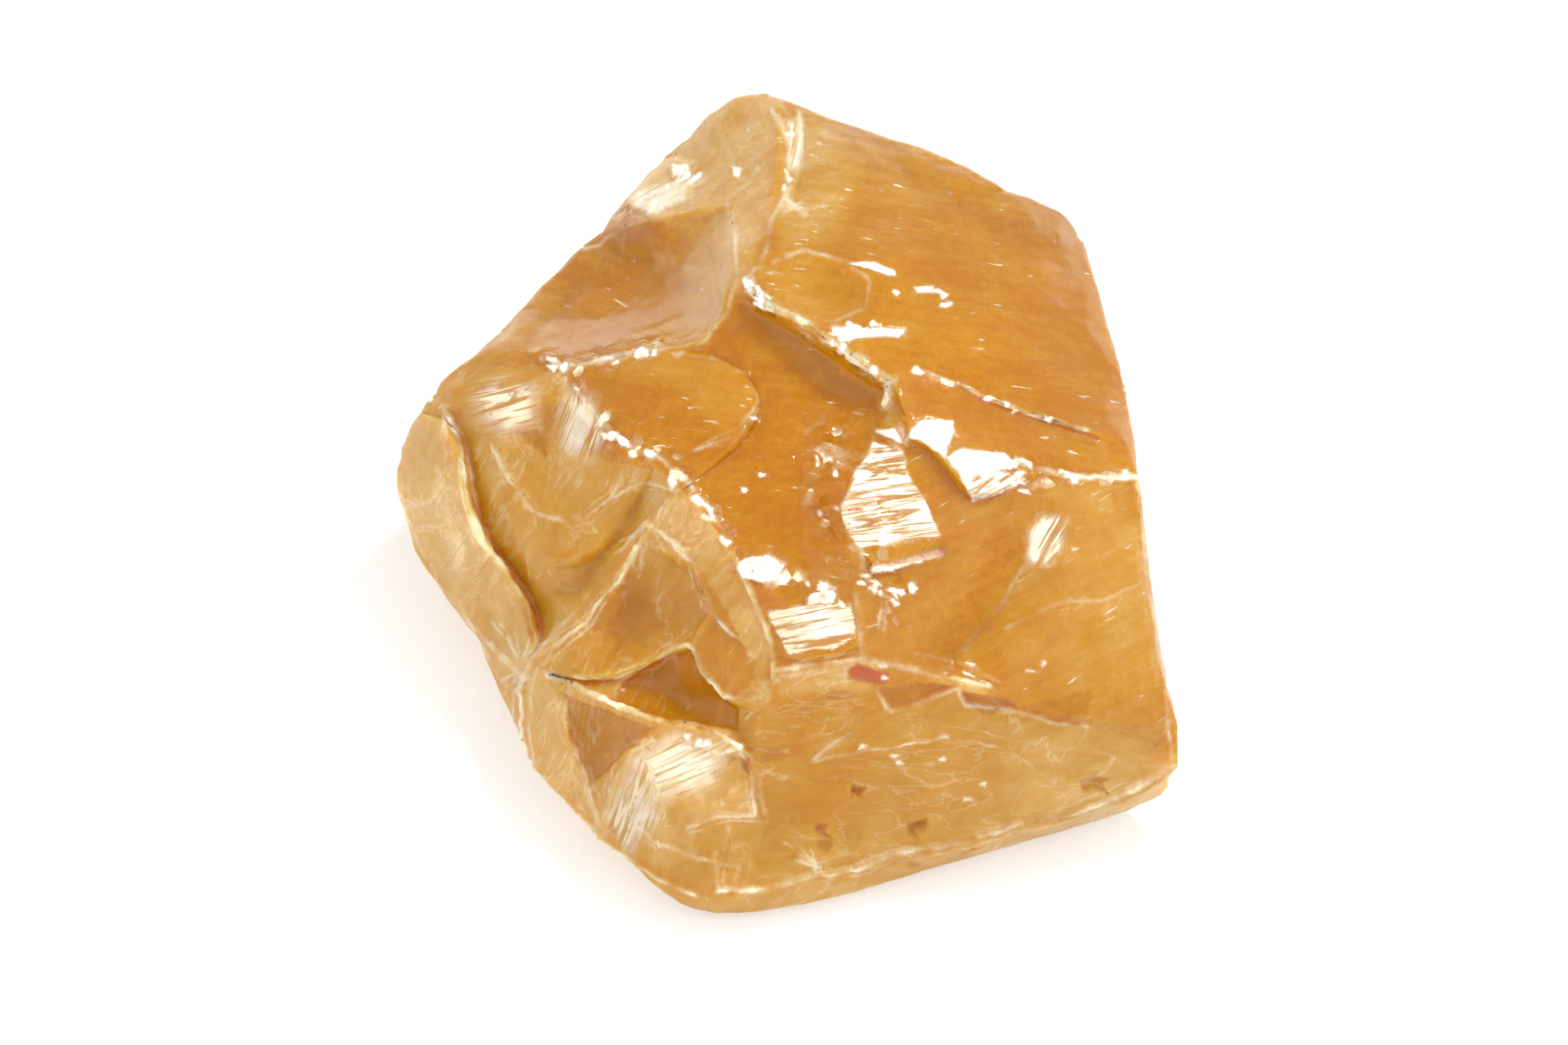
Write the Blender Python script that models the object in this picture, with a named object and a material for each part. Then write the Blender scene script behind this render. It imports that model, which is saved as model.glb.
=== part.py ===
"""A raw piece of amber: one broken, honey-coloured lump that rests on its flat underside.

The lump is described as it is seen from slightly above its front. Each corner of a broken face is
given as (across, up, height): how far right and how far up it appears in that view, and how high it
stands over the table. The skin that faces the view is a net stretched between those corners, and the
skin that faces away, with the underside, is a second net that meets the first along the outline.
Lengths in the lists are millimetres.
"""

import math

import bmesh
import bpy
from mathutils import Vector, noise
from mathutils.geometry import barycentric_transform, delaunay_2d_cdt

MM = 0.001
VIEW_ELEVATION = math.radians(50)
FILL_SPACING = 4.6
FILL_CLEARANCE = 2.0
SWELL = 0.30
SWELL_LENGTH = 8.0
MERGE = 1e-5
PIT_CORNERS = 6

RIDGE = 1.0
SOFT_RIDGE = 0.6
OUTLINE_CREASE = 0.45
SHARP_ANGLE = math.radians(28)
AMBER = (0.72, 0.30, 0.045, 1.0)
AMBER_ROUGHNESS = 0.18
AMBER_IOR = 1.54

# Corners where several ridges meet
RIM_TOP = (-1.2, 22.8, 34.8)
LEDGE_START = (-1.9, 16.8, 37.0)
LEDGE_END = (9.0, 10.1, 37.0)
FLAKE_START = (10.2, 6.9, 36.2)
FLAKE_END = (20.8, 2.2, 32.0)
STEP_RIGHT = (29.9, 2.3, 28.0)
LEFT_SADDLE = (-27.1, 12.3, 20.0)
CREST_LEFT = (-19.4, 9.6, 26.0)
CREST_KNEE = (-11.6, 3.0, 30.5)
CREST_BEND = (-9.1, 0.9, 31.0)
CREST_LOW = (-1.2, -13.1, 23.2)
CREST_FRONT = (-1.2, -15.2, 21.5)
PATCH_LEFT = (6.2, -4.3, 30.0)
PATCH_RIGHT = (13.8, -3.4, 30.0)
PATCH_LOW = (6.3, -12.2, 24.6)
FRONT_NOTCH = (7.4, -16.0, 21.7)
FRONT_TOOTH = (14.4, -15.5, 22.2)
FRONT_FADE = (20.4, -17.6, 19.8)
RIGHT_LIP = (33.3, -18.9, 13.2)
FRONT_FOOT = (-2.7, -33.3, 4.0)
LEFT_FOOT = (-16.2, -29.0, 5.0)
LEFT_NOTCH = (-23.2, -19.8, 6.5)
FORK = (-22.1, -13.7, 12.5)
FIN_TOP = (-12.7, -3.5, 25.2)
SHELL_LEFT = (-20.4, -14.8, 13.8)
SHELL_MIDDLE = (-10.2, -19.0, 16.4)
LOBE_LOW = (-6.5, -9.6, 23.8)
SCALE_TIP = (-8.5, -12.5, 20.8)
CORNER_TOP = (-2.4, -18.0, 19.2)
FLANK_TOP = (-15.0, -25.4, 9.0)
CORNER_LOW = (-2.1, -27.2, 9.8)

# The outline of the view, clockwise from the highest point of the far edge
OUTLINE = [
    (-3.3, 35.5, 25.0), (-0.6, 34.6, 27.0), (3.4, 33.0, 28.0), (9.0, 31.3, 29.0), (13.8, 29.6, 29.5),
    (17.2, 27.6, 29.0), (18.6, 26.6, 28.0), (23.2, 25.4, 26.0), (25.0, 24.1, 25.0), (26.2, 20.7, 25.0),
    (27.5, 15.1, 26.0), (29.2, 7.2, 27.5), STEP_RIGHT, (30.5, -2.7, 25.0), (30.9, -6.7, 22.5),
    (31.7, -11.8, 19.0), (32.3, -16.0, 15.8), RIGHT_LIP, (33.5, -22.7, 10.0), (32.7, -23.7, 7.0),
    (32.4, -25.1, 3.0), (29.1, -26.5, 1.0), (25.2, -27.8, 0.8), (21.4, -28.8, 0.8), (16.2, -30.4, 0.8),
    (12.3, -31.4, 0.8), (8.4, -32.7, 0.8), (3.2, -34.2, 0.8), (-0.7, -34.9, 0.8), (-4.6, -35.4, 0.8),
    (-8.1, -35.1, 1.0), (-10.4, -33.8, 2.0), (-13.8, -30.9, 4.0), LEFT_FOOT, (-19.0, -26.0, 5.0),
    (-21.3, -23.9, 5.0), (-22.6, -22.3, 5.5), LEFT_NOTCH, (-24.0, -17.9, 6.5), (-25.4, -15.1, 6.0),
    (-26.5, -11.9, 6.0), (-28.4, -9.9, 5.5), (-30.4, -7.4, 5.5), (-32.3, -4.6, 7.0), (-33.2, -1.3, 9.0),
    (-33.9, 1.4, 11.0), (-33.6, 3.6, 12.5), (-33.0, 5.7, 14.0), (-31.7, 7.6, 16.0), (-30.7, 9.4, 18.0),
    (-29.1, 11.1, 19.0), LEFT_SADDLE, (-24.2, 14.9, 20.0), (-22.8, 16.8, 19.0), (-19.9, 20.0, 18.0),
    (-17.5, 22.4, 18.0), (-16.2, 23.1, 18.5), (-14.6, 25.8, 19.0), (-12.7, 27.7, 20.0),
    (-11.2, 29.3, 21.0), (-8.5, 31.6, 22.0), (-6.7, 34.2, 24.0),
]

# Sharp edges of the skin that faces the view, each a line of corners
SPUR = [(-0.6, 34.6, 27.0), (-0.9, 32.8, 29.0), (-0.9, 28.1, 32.0), (-1.4, 24.8, 33.6), RIM_TOP,
        (-3.4, 19.0, 36.0), LEDGE_START]
SPUR_GROOVE = [(1.4, 31.4, 29.0), (0.9, 28.9, 30.9), (0.9, 26.1, 32.5), (0.3, 23.8, 34.0)]
LEDGE = [LEDGE_START, (1.8, 15.1, 37.6), (5.6, 12.4, 37.6), LEDGE_END]
LEDGE_FOOT = [LEDGE_START, (-3.3, 16.2, 34.0), (0.9, 14.0, 34.6), (4.9, 11.1, 34.4), (8.3, 8.9, 34.3),
              LEDGE_END]
TOP_EDGE = [LEDGE_END, FLAKE_START, (14.2, 6.8, 35.4), (14.9, 4.6, 34.6), (18.8, 4.0, 33.2), FLAKE_END,
            (24.4, 2.1, 30.8), STEP_RIGHT]
BOWL_RIM = [RIM_TOP, (-4.7, 21.6, 33.8), (-5.2, 18.1, 33.4), (-5.7, 15.6, 33.2),
            (-7.8, 13.0, 32.0), (-10.7, 12.8, 31.0), (-12.7, 12.4, 30.0), (-16.7, 11.3, 27.5),
            (-19.4, 12.2, 25.8), (-22.3, 13.0, 23.4), LEFT_SADDLE]
BOWL_SHELF = [(-1.4, 24.8, 33.6), (-4.6, 25.4, 30.4), (-8.4, 24.8, 27.0), (-12.0, 23.8, 23.6),
              (-16.2, 23.1, 18.5)]
CREST = [CREST_LEFT, (-16.0, 4.1, 28.5), CREST_KNEE, CREST_BEND, (-6.7, -1.9, 30.0),
         (-4.2, -5.4, 28.2), (-2.1, -8.9, 26.0), CREST_LOW, CREST_FRONT]
PATCH_EDGE = [(7.7, 5.9, 34.0), (9.7, 4.1, 33.9), (10.3, 2.3, 33.2), (11.5, 0.4, 32.3), (12.6, -1.6, 31.2),
              PATCH_RIGHT]
PATCH_SIDE = [(7.7, 5.9, 34.0), (5.7, 1.8, 32.6), (4.6, -0.6, 31.7), (5.4, -2.3, 30.8), PATCH_LEFT]
SPLIT = [PATCH_LEFT, (5.8, -7.4, 27.6), (6.0, -10.0, 25.8), PATCH_LOW, FRONT_NOTCH]
FRONT_EDGE = [CREST_FRONT, (1.8, -15.9, 22.0), (4.6, -14.4, 22.9), FRONT_NOTCH, (11.0, -15.8, 22.0),
              FRONT_TOOTH, (17.6, -16.6, 21.0), FRONT_FADE]
FRONT_WINDOWS = [
    [FRONT_NOTCH, (9.0, -17.9, 19.7), FRONT_TOOTH],
    [FRONT_TOOTH, (15.4, -17.7, 19.7), (18.6, -18.4, 18.9), FRONT_FADE],
]
FRONT_CORNER = [CREST_FRONT, CORNER_TOP, (-2.8, -21.8, 15.4), (-4.0, -23.6, 13.6), CORNER_LOW, FRONT_FOOT]
UNDERCUT = [(33.5, -22.7, 10.0), (30.4, -25.0, 5.0), (26.5, -26.5, 4.5), (22.6, -27.6, 4.5),
            (18.8, -28.7, 4.5), (13.6, -30.0, 4.2), (9.9, -30.6, 4.2), (5.8, -31.7, 4.2), (0.6, -32.8, 4.2),
            FRONT_FOOT, (-5.5, -34.0, 4.0), (-8.0, -33.8, 3.6), (-11.2, -32.0, 4.0), (-13.8, -30.9, 4.0)]
FIN = [LEFT_NOTCH, (-22.6, -16.8, 9.6), FORK, (-17.4, -10.4, 18.2), (-14.6, -6.8, 21.8), FIN_TOP,
       CREST_BEND]
SHELL = [FORK, SHELL_LEFT, (-16.8, -16.5, 15.2), (-13.2, -18.1, 16.0), SHELL_MIDDLE,
         (-6.3, -19.8, 16.8), (-2.8, -21.8, 15.4)]
FLANK = [LEFT_FOOT, FLANK_TOP, (-14.4, -22.4, 12.2), (-12.4, -20.8, 14.6), SHELL_MIDDLE]
LOBE_LINE = [LOBE_LOW, (-3.4, -13.0, 22.2), CREST_FRONT]

# Softer edges, where one shell-shaped break runs into the next
BACK_STEP = [(9.0, 31.3, 29.0), (9.6, 27.6, 31.2), (14.4, 26.0, 31.0), (18.6, 26.6, 28.0)]
SCAR = [(0.2, 20.6, 36.6), (3.6, 20.6, 36.8), (6.8, 18.6, 37.2), (7.6, 15.6, 37.5), (5.6, 12.4, 37.6)]
SCOOP = [(-0.4, 6.6, 32.8), (1.8, 5.6, 32.4), (4.8, 6.2, 32.8), (7.7, 5.9, 34.0)]
CENTRE_FOLD = [(1.8, 5.6, 32.4), (0.6, 0.6, 30.8), (1.2, -4.2, 28.8), (-0.2, -8.4, 26.8)]
MIDDLE_CREASE = [(21.4, -3.4, 28.3), (20.2, -5.8, 26.7), (18.1, -9.2, 24.7), (14.9, -12.7, 22.9),
                 (13.4, -14.4, 22.2)]
SIDE_EDGE = [STEP_RIGHT, (29.5, -2.8, 26.0), (29.9, -6.8, 23.7), (30.7, -11.9, 20.2), (31.2, -15.8, 17.2),
             RIGHT_LIP]
FRONT_SOFT = [FRONT_FADE, (25.0, -18.6, 17.9), (29.4, -19.0, 15.6), RIGHT_LIP]
NECK = [(-3.3, 16.2, 34.0), (-5.7, 15.6, 33.2)]
BROW = [LEFT_SADDLE, (-23.6, 10.2, 23.4), CREST_LEFT]
LEFT_BAND = [(-19.0, -26.0, 5.0), (-18.7, -21.6, 10.0), (-19.2, -18.0, 12.4), SHELL_LEFT]
CORNER_FOLD = [FLANK_TOP, (-10.8, -25.6, 11.9), (-6.6, -26.4, 11.8), CORNER_LOW]

# Small steps: the line at the top of each, how far to the right of it the foot is, and how much lower
STEPS = [
    ([FLAKE_START, (10.4, 5.4, 35.6), (11.6, 5.1, 35.3), (13.4, 3.4, 34.5), (15.4, -0.1, 32.6),
      (18.1, 0.9, 32.4), FLAKE_END], 0.5, 1.1),
    ([PATCH_LEFT, (7.4, -5.5, 29.6), (10.4, -4.8, 29.8), PATCH_RIGHT], 0.6, 1.2),
    ([CREST_LOW, (1.4, -13.4, 24.2), (3.8, -13.3, 24.5), PATCH_LOW], 0.55, 0.9),
    ([(13.0, 10.6, 36.0), (16.7, 8.9, 35.0), (19.5, 7.9, 33.8), (25.6, 6.0, 31.0), (27.4, 5.0, 29.9)],
     0.5, 0.5),
    ([(2.9, -22.3, 15.2), (8.2, -21.4, 16.4), (13.8, -20.3, 17.2), (18.1, -21.1, 15.4), (20.7, -22.6, 12.9)],
     0.5, 0.6),
    ([(-10.7, 12.8, 31.0), (-6.6, 12.2, 32.8), (-3.5, 10.6, 33.8), (-2.4, 8.0, 33.6), (-4.6, 4.6, 32.4),
      CREST_BEND], -0.6, 0.8),
    ([(-31.7, 7.6, 16.0), (-29.4, 6.6, 19.6), (-27.9, 3.7, 19.2), (-27.4, -0.5, 17.6), (-26.3, -3.6, 16.4),
      (-24.0, -6.3, 15.8), (-22.4, -8.7, 15.2), (-21.4, -11.3, 13.9), FORK], -0.7, 1.2),
    ([(-24.9, -1.8, 18.2), (-23.6, -3.6, 18.0), (-21.6, -5.0, 18.8), (-18.6, -5.4, 20.8), (-15.9, -4.0, 23.0),
      (-14.5, -1.7, 24.8), (-12.9, 0.6, 27.6), CREST_KNEE], 0.7, 1.3),
    ([FIN_TOP, (-10.4, -4.4, 26.0), (-8.1, -5.4, 26.6), (-7.0, -7.6, 25.3), LOBE_LOW], 0.7, 1.4),
    ([LOBE_LOW, (-7.6, -11.0, 22.6), SCALE_TIP], 0.6, 1.0),
    ([SCALE_TIP, (-7.2, -15.2, 19.4), (-5.6, -16.7, 18.9), CORNER_TOP], 0.6, 1.3),
    ([SHELL_LEFT, (-17.2, -15.0, 15.8), (-14.6, -14.8, 16.9), (-11.9, -13.8, 18.2), (-9.9, -12.8, 19.6),
      SCALE_TIP], 0.6, 1.1),
]

# Single low and high places on the same skin
HOLLOWS = [
    (-12.6, 17.8, 21.0), (-9.0, 19.8, 23.4), (-9.2, 16.2, 24.6), (-13.0, 14.8, 23.6), (-16.6, 15.2, 20.6),
    (-20.2, 15.6, 19.8), (-13.8, 21.2, 19.8), (-7.2, 22.6, 26.0), (-7.8, 27.6, 25.6), (-11.2, 26.0, 22.0),
    (-4.6, 30.8, 26.4),
    (8.6, 20.4, 37.0), (16.4, 13.4, 35.4), (21.4, 19.2, 30.8), (5.4, 27.2, 33.6), (3.6, 17.6, 36.2),
    (-0.4, 12.0, 33.2), (2.4, 9.6, 32.6), (5.6, 8.6, 32.8), (-7.4, 8.6, 32.9), (-13.2, 8.4, 30.2),
    (-24.2, 7.4, 24.0), (-20.8, 4.2, 21.6), (-17.6, 7.0, 28.2), (-24.4, 2.6, 20.8), (-18.4, -0.6, 23.6),
    (-20.4, -8.0, 15.6), (-17.6, -7.6, 17.4), (-15.2, -10.6, 17.4), (-12.2, -7.4, 21.0), (-11.2, -10.4, 19.0),
    (-14.2, -12.8, 16.6), (-10.6, -16.4, 15.0), (-7.8, -17.8, 15.2), (-5.2, -18.8, 16.2), (-29.8, -2.4, 12.8),
    (-27.0, -8.2, 10.2), (-30.6, 1.4, 15.2), (-5.0, -14.0, 21.0), (-4.6, -10.8, 24.2), (-8.4, -2.6, 28.8),
    (-16.6, -19.6, 10.4), (-16.4, -22.6, 9.4), (-20.9, -20.6, 8.4), (-9.0, -22.6, 14.2), (-6.0, -23.6, 13.4),
    (-10.4, -29.4, 7.4), (-6.4, -30.4, 7.6), (-2.2, -1.4, 29.8), (3.2, -1.6, 30.2), (2.6, -8.0, 26.8),
    (3.6, -10.8, 25.4), (8.2, 0.4, 32.0), (8.8, -2.6, 30.9), (16.4, -3.4, 29.6), (11.4, -9.4, 26.4),
    (16.0, -7.4, 27.2), (25.2, -3.2, 27.8), (24.0, -10.4, 24.2), (27.6, -7.4, 25.0), (20.0, -13.6, 22.8),
    (27.2, -14.4, 20.6), (9.6, -12.8, 24.2), (12.6, -24.0, 13.0), (22.2, -24.4, 10.8), (4.2, -26.4, 11.2),
    (30.0, -21.8, 11.0), (2.2, -18.6, 19.2), (11.6, -18.9, 18.4),
]

# Pits in the front face: the middle of each, its radius and its depth
PITS = [
    ((6.0, -24.4), 0.9, 0.8), ((3.1, -29.2), 1.0, 0.9), ((11.2, -27.6), 1.1, 0.9), ((26.0, -23.4), 0.8, 0.7),
]

# The skin that faces away: its sharp edges and its corners (x, y, height), and the flat it rests on
BACK_EDGES = [
    [(-2.0, 26.2, 19.0), (-4.0, 27.0, 12.0), (-3.0, 24.6, 5.0), (-1.0, 21.8, 0.0)],
    [(18.8, 15.4, 21.0), (19.4, 15.4, 13.0), (18.0, 13.2, 5.0), (17.4, 11.0, 0.0)],
    [(27.4, -1.6, 20.0), (28.2, -3.0, 14.0), (27.4, -5.0, 6.5), (25.6, -9.0, 0.0)],
    [(-15.2, 16.6, 13.0), (-14.6, 17.6, 9.0), (-11.4, 18.6, 4.6), (-9.0, 18.2, 0.0)],
    [(-26.8, 2.0, 14.0), (-25.6, 3.6, 9.0), (-22.0, 5.6, 4.0), (-17.0, 9.0, 0.0)],
    [(-2.0, 26.2, 19.0), (3.4, 23.4, 18.6), (9.0, 20.2, 19.6), (14.0, 17.6, 18.8), (18.8, 15.4, 21.0)],
    [(-2.0, 26.2, 19.0), (3.2, 21.9, 17.2), (8.8, 18.8, 18.0), (13.8, 16.2, 17.4), (18.8, 15.4, 21.0)],
    [(19.4, 15.4, 13.0), (23.6, 9.6, 11.6), (28.2, -3.0, 14.0)],
    [(29.4, -19.4, 20.0), (30.1, -20.6, 12.4), (29.4, -21.6, 5.4), (27.4, -22.0, 0.0)],
    [(28.2, -3.0, 14.0), (28.8, -12.4, 11.0), (30.1, -20.6, 12.4)],
    [(-4.0, 27.0, 12.0), (-9.2, 24.0, 11.0), (-14.6, 17.6, 9.0)],
]
BACK_CORNERS = [
    (8.0, 21.4, 13.0), (13.4, 18.4, 9.0), (3.4, 22.0, 7.0), (26.2, 3.4, 6.0), (28.4, -11.0, 17.6),
    (27.2, -14.4, 5.0), (29.0, -28.4, 5.6), (-19.8, 11.6, 9.0), (-30.0, -3.5, 6.5), (-9.0, 22.4, 5.0),
    (23.0, 8.4, 18.0),
]
REST_FLAT = [
    (27.6, -33.0), (20.0, -36.4), (12.0, -39.4), (4.0, -42.2), (-4.5, -44.6), (-9.2, -42.6), (-14.2, -37.6),
    (-18.6, -31.4), (-21.4, -23.6), (-25.6, -15.0), (-28.0, -8.4), (-23.6, -1.0), (-17.0, 9.0),
    (-9.0, 18.2), (-1.0, 21.8), (8.0, 16.6), (17.4, 11.0), (22.6, 3.6), (25.6, -9.0), (27.4, -22.0),
]


def placed(across, up, height):
    """Where a corner of the view is on the table, in millimetres."""
    depth = (up - height * math.cos(VIEW_ELEVATION)) / math.sin(VIEW_ELEVATION)
    return Vector((across, depth, height))


def step_foot(line, offset, drop):
    """The foot of a step down from a line of corners. The step runs out at the line's two ends."""
    foot = [line[0]]
    for before, corner, after in zip(line, line[1:], line[2:]):
        along = Vector((after[0] - before[0], after[1] - before[1])).normalized()
        foot.append((corner[0] + along.y * offset, corner[1] - along.x * offset, corner[2] - drop))
    return foot + [line[-1]]


def seen(point):
    """Where a point appears in the view."""
    rise = point.y * math.sin(VIEW_ELEVATION) + point.z * math.cos(VIEW_ELEVATION)
    return Vector((point.x, rise))


class Net:
    """A skin stretched over its corners, with the lines that must stay edges and how sharp each is."""

    def __init__(self):
        self.points = []
        self.lines = {}

    def corner(self, point):
        """The number of this corner, which is added once."""
        for index, known in enumerate(self.points):
            if (known - point).length < 0.05:
                return index
        self.points.append(point)
        return len(self.points) - 1

    def line(self, points, crease, closed=False):
        """Adds a line of corners that stays an edge."""
        numbers = [self.corner(p) for p in points]
        ends = numbers[1:] + numbers[:1] if closed else numbers[1:]
        for a, b in zip(numbers, ends):
            key = (min(a, b), max(a, b))
            self.lines[key] = max(crease, self.lines.get(key, 0.0))

    def triangles(self):
        """The faces that join the corners, as seen in the view."""
        flat = [seen(p) for p in self.points]
        made = delaunay_2d_cdt(flat, list(self.lines), [], 1, 1e-6)
        crossed = [tuple(round(x, 1) for x in spot) for spot, known in zip(made[0], made[3]) if not known]
        if crossed:
            raise ValueError(f"ridge lines cross each other at {crossed}")
        home = [sources[0] for sources in made[3]]
        return [tuple(home[i] for i in face) for face in made[2]]

    def fill(self):
        """Adds corners to the wide faces, on the faces as they are, so that no face is long and thin."""
        flat = [seen(p) for p in self.points]
        faces = self.triangles()
        low, high = min(p.y for p in flat), max(p.y for p in flat)
        left, right = min(p.x for p in flat), max(p.x for p in flat)
        row_step = FILL_SPACING * math.sqrt(3) / 2
        added = []
        for row in range(int((high - low) / row_step) + 1):
            offset = FILL_SPACING / 2 * (row % 2)
            for column in range(int((right - left) / FILL_SPACING) + 1):
                spot = Vector((left + offset + column * FILL_SPACING, low + row * row_step))
                if self.is_free(spot, flat):
                    on_skin = self.lifted(spot, flat, faces)
                    if on_skin is not None:
                        added.append(on_skin)
        self.points.extend(added)

    def is_free(self, spot, flat):
        """True where a new corner would stand clear of the corners and the lines."""
        for a, b in self.lines:
            along = flat[b] - flat[a]
            share = max(0.0, min(1.0, (spot - flat[a]).dot(along) / along.length_squared))
            if (spot - flat[a] - along * share).length < FILL_CLEARANCE:
                return False
        return all((spot - p).length >= FILL_CLEARANCE for p in flat)

    def pit(self, middle, radius, depth):
        """Adds a small pit: a ring of corners on the skin, and a lower one in its middle."""
        flat = [seen(p) for p in self.points]
        faces = self.triangles()
        ring = []
        for number in range(PIT_CORNERS):
            turn = 2 * math.pi * number / PIT_CORNERS
            spot = Vector(middle) + radius * Vector((math.cos(turn), math.sin(turn)))
            ring.append(self.lifted(spot, flat, faces))
        bottom = sum(ring, Vector()) / PIT_CORNERS
        bottom -= depth * Vector((0.0, -math.cos(VIEW_ELEVATION), math.sin(VIEW_ELEVATION)))
        self.line(ring, SOFT_RIDGE, closed=True)
        self.corner(bottom)

    def lifted(self, spot, flat, faces):
        """The point of the skin that appears at this spot."""
        for face in faces:
            corners = [flat[i].to_3d() for i in face]
            sides = [
                (corners[(k + 1) % 3] - corners[k]).cross(spot.to_3d() - corners[k]).z for k in range(3)
            ]
            if min(sides) >= 0 or max(sides) <= 0:
                return barycentric_transform(spot.to_3d(), *corners, *[self.points[i] for i in face])
        return None


def front_net():
    """The skin that faces the view."""
    net = Net()
    net.line([placed(*p) for p in OUTLINE], OUTLINE_CREASE, closed=True)
    for ridge in (SPUR, SPUR_GROOVE, LEDGE, LEDGE_FOOT, TOP_EDGE, BOWL_RIM, BOWL_SHELF, CREST, PATCH_EDGE,
                  PATCH_SIDE, SPLIT, FRONT_EDGE, *FRONT_WINDOWS, FRONT_CORNER, UNDERCUT, FIN, SHELL,
                  FLANK, LOBE_LINE):
        net.line([placed(*p) for p in ridge], RIDGE)
    for edge in (BACK_STEP, SCAR, SCOOP, CENTRE_FOLD, MIDDLE_CREASE, SIDE_EDGE, FRONT_SOFT, NECK, BROW,
                 LEFT_BAND, CORNER_FOLD):
        net.line([placed(*p) for p in edge], SOFT_RIDGE)
    for top, offset, drop in STEPS:
        net.line([placed(*p) for p in top], RIDGE)
        net.line([placed(*p) for p in step_foot(top, offset, drop)], RIDGE)
    for hollow in HOLLOWS:
        net.corner(placed(*hollow))
    for middle, radius, depth in PITS:
        net.pit(middle, radius, depth)
    net.fill()
    return net


def far_net():
    """The skin that faces away, with the flat that the lump rests on."""
    net = Net()
    net.line([placed(*p) for p in OUTLINE], OUTLINE_CREASE, closed=True)
    net.line([Vector((x, y, 0.0)) for x, y in REST_FLAT], RIDGE, closed=True)
    for edge in BACK_EDGES:
        net.line([Vector(p) for p in edge], RIDGE)
    for corner in BACK_CORNERS:
        net.corner(Vector(corner))
    net.fill()
    return net


def swell(point):
    """How far the skin stands out of its flat faces at a point, in millimetres. The rest flat has none."""
    share = min(1.0, max(0.0, (point.z - 0.5) / 4.0))
    return SWELL * share * noise.noise(point / SWELL_LENGTH)


def skin():
    """The two nets as one closed mesh, in metres."""
    mesh = bmesh.new()
    crease = mesh.edges.layers.float.new("crease_edge")
    for net, turn in ((front_net(), 1), (far_net(), -1)):
        verts = [mesh.verts.new(p * MM) for p in net.points]
        for face in net.triangles():
            mesh.faces.new([verts[i] for i in face[::turn]])
        for a, b in net.lines:
            edge = mesh.edges.get((verts[a], verts[b]))
            edge[crease] = net.lines[(a, b)]
    bmesh.ops.remove_doubles(mesh, verts=mesh.verts, dist=MERGE)
    bmesh.ops.recalc_face_normals(mesh, faces=mesh.faces)
    mesh.normal_update()
    for vert in mesh.verts:
        vert.co += vert.normal * swell(vert.co / MM) * MM
    return mesh


def centred(mesh):
    """Moves the mesh so that the middle of its box is over the origin and its flat is on the table."""
    low = Vector([min(v.co[k] for v in mesh.vertices) for k in range(3)])
    high = Vector([max(v.co[k] for v in mesh.vertices) for k in range(3)])
    shift = -(low + high) / 2
    shift.z = -low.z
    for vert in mesh.vertices:
        vert.co += shift


def amber():
    """Honey-coloured, slightly cloudy amber."""
    material = bpy.data.materials.new("amber")
    material.use_nodes = True
    shader = material.node_tree.nodes["Principled BSDF"]
    shader.inputs["Base Color"].default_value = AMBER
    shader.inputs["Roughness"].default_value = AMBER_ROUGHNESS
    shader.inputs["IOR"].default_value = AMBER_IOR
    material.diffuse_color = AMBER
    return material


def build():
    """Makes the lump, with its curved breaks smoothed between its ridges."""
    for old in list(bpy.data.objects):
        bpy.data.objects.remove(old)
    cage = skin()
    mesh = bpy.data.meshes.new("raw_amber")
    cage.to_mesh(mesh)
    cage.free()
    lump = bpy.data.objects.new("raw_amber", mesh)
    bpy.context.scene.collection.objects.link(lump)
    smooth = lump.modifiers.new("Smooth breaks", "SUBSURF")
    smooth.levels = smooth.render_levels = 1
    graph = bpy.context.evaluated_depsgraph_get()
    rounded = bpy.data.meshes.new_from_object(lump.evaluated_get(graph))
    lump.modifiers.clear()
    lump.data = rounded
    rounded.name = "raw_amber"
    centred(rounded)
    rounded.materials.clear()
    rounded.materials.append(amber())
    rounded.shade_smooth()
    rounded.set_sharp_from_angle(angle=SHARP_ANGLE)


build()
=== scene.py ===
"""A raw, unpolished piece of amber on a white table, lit as in a product photograph."""

import math
import random

import bmesh
import bpy
import numpy as np
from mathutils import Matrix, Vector, noise
from mathutils.bvhtree import BVHTree


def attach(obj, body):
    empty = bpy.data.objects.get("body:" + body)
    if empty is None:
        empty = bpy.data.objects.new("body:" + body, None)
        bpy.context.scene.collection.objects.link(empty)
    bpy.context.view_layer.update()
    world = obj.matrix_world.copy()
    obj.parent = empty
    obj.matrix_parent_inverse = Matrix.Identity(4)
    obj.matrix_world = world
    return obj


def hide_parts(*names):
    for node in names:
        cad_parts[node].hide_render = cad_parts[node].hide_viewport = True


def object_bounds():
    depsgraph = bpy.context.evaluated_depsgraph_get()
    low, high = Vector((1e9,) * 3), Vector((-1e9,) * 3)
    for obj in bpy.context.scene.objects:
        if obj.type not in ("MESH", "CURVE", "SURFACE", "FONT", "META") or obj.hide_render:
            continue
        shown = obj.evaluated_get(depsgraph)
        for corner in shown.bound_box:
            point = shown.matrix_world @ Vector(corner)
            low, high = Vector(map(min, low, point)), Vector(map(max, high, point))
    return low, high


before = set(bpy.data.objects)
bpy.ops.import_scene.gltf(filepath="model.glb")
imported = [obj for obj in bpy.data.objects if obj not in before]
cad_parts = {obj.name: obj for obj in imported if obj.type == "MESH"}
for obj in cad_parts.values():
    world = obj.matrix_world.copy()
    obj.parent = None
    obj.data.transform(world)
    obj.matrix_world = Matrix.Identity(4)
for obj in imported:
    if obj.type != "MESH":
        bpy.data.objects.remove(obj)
cad_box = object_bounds()

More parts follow.
